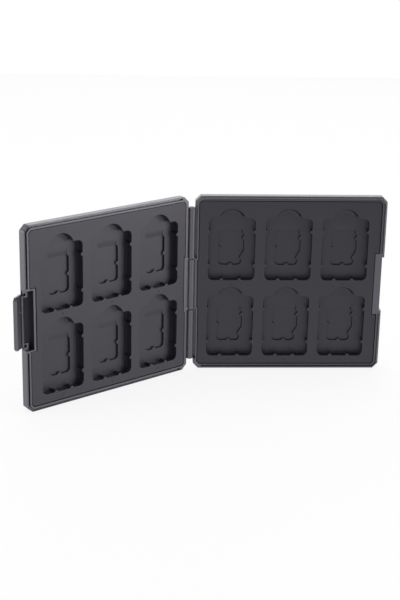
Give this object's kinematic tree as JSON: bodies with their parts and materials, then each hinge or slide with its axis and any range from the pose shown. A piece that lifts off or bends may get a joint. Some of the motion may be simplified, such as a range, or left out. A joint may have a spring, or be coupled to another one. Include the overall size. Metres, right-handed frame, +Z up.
{
  "type": "game card case",
  "caption": "Flat hinged plastic case that opens like a book, with a card tray of shaped pockets in each half, a sealing rim and a swinging latch.",
  "frame": {"origin": "middle of the base half's lower wall, on which the open case stands", "axes": "+X along the base half away from the hinge, +Y out of its back, +Z up along the hinge pin"},
  "size_m": [0.1806, 0.0713, 0.0908],
  "materials": {
    "shell_plastic": "black polypropylene, fine satin texture",
    "tray_plastic": "black polypropylene, satin",
    "pin_steel": "drawn steel wire"
  },
  "bodies": {
    "base": {"base_shell": "shell_plastic", "base_tray": "tray_plastic"},
    "lid": {"lid_shell": "shell_plastic", "lid_tray": "tray_plastic", "hinge_pin": "pin_steel", "latch_pin": "pin_steel"},
    "latch": {"latch": "shell_plastic"}
  },
  "joints": [
    {"name": "lid_hinge", "type": "hinge", "parent": "base", "child": "lid", "pos_m": [-0.04955, -0.0025, 0.0454], "axis": [0, 0, 1], "range_deg": [-74.8, 143.2]},
    {"name": "latch_hinge", "type": "hinge", "parent": "lid", "child": "latch", "pos_m": [-0.12888, -0.0578, 0.0454], "axis": [0, 0, 1], "range_deg": [-31, 59]}
  ]
}
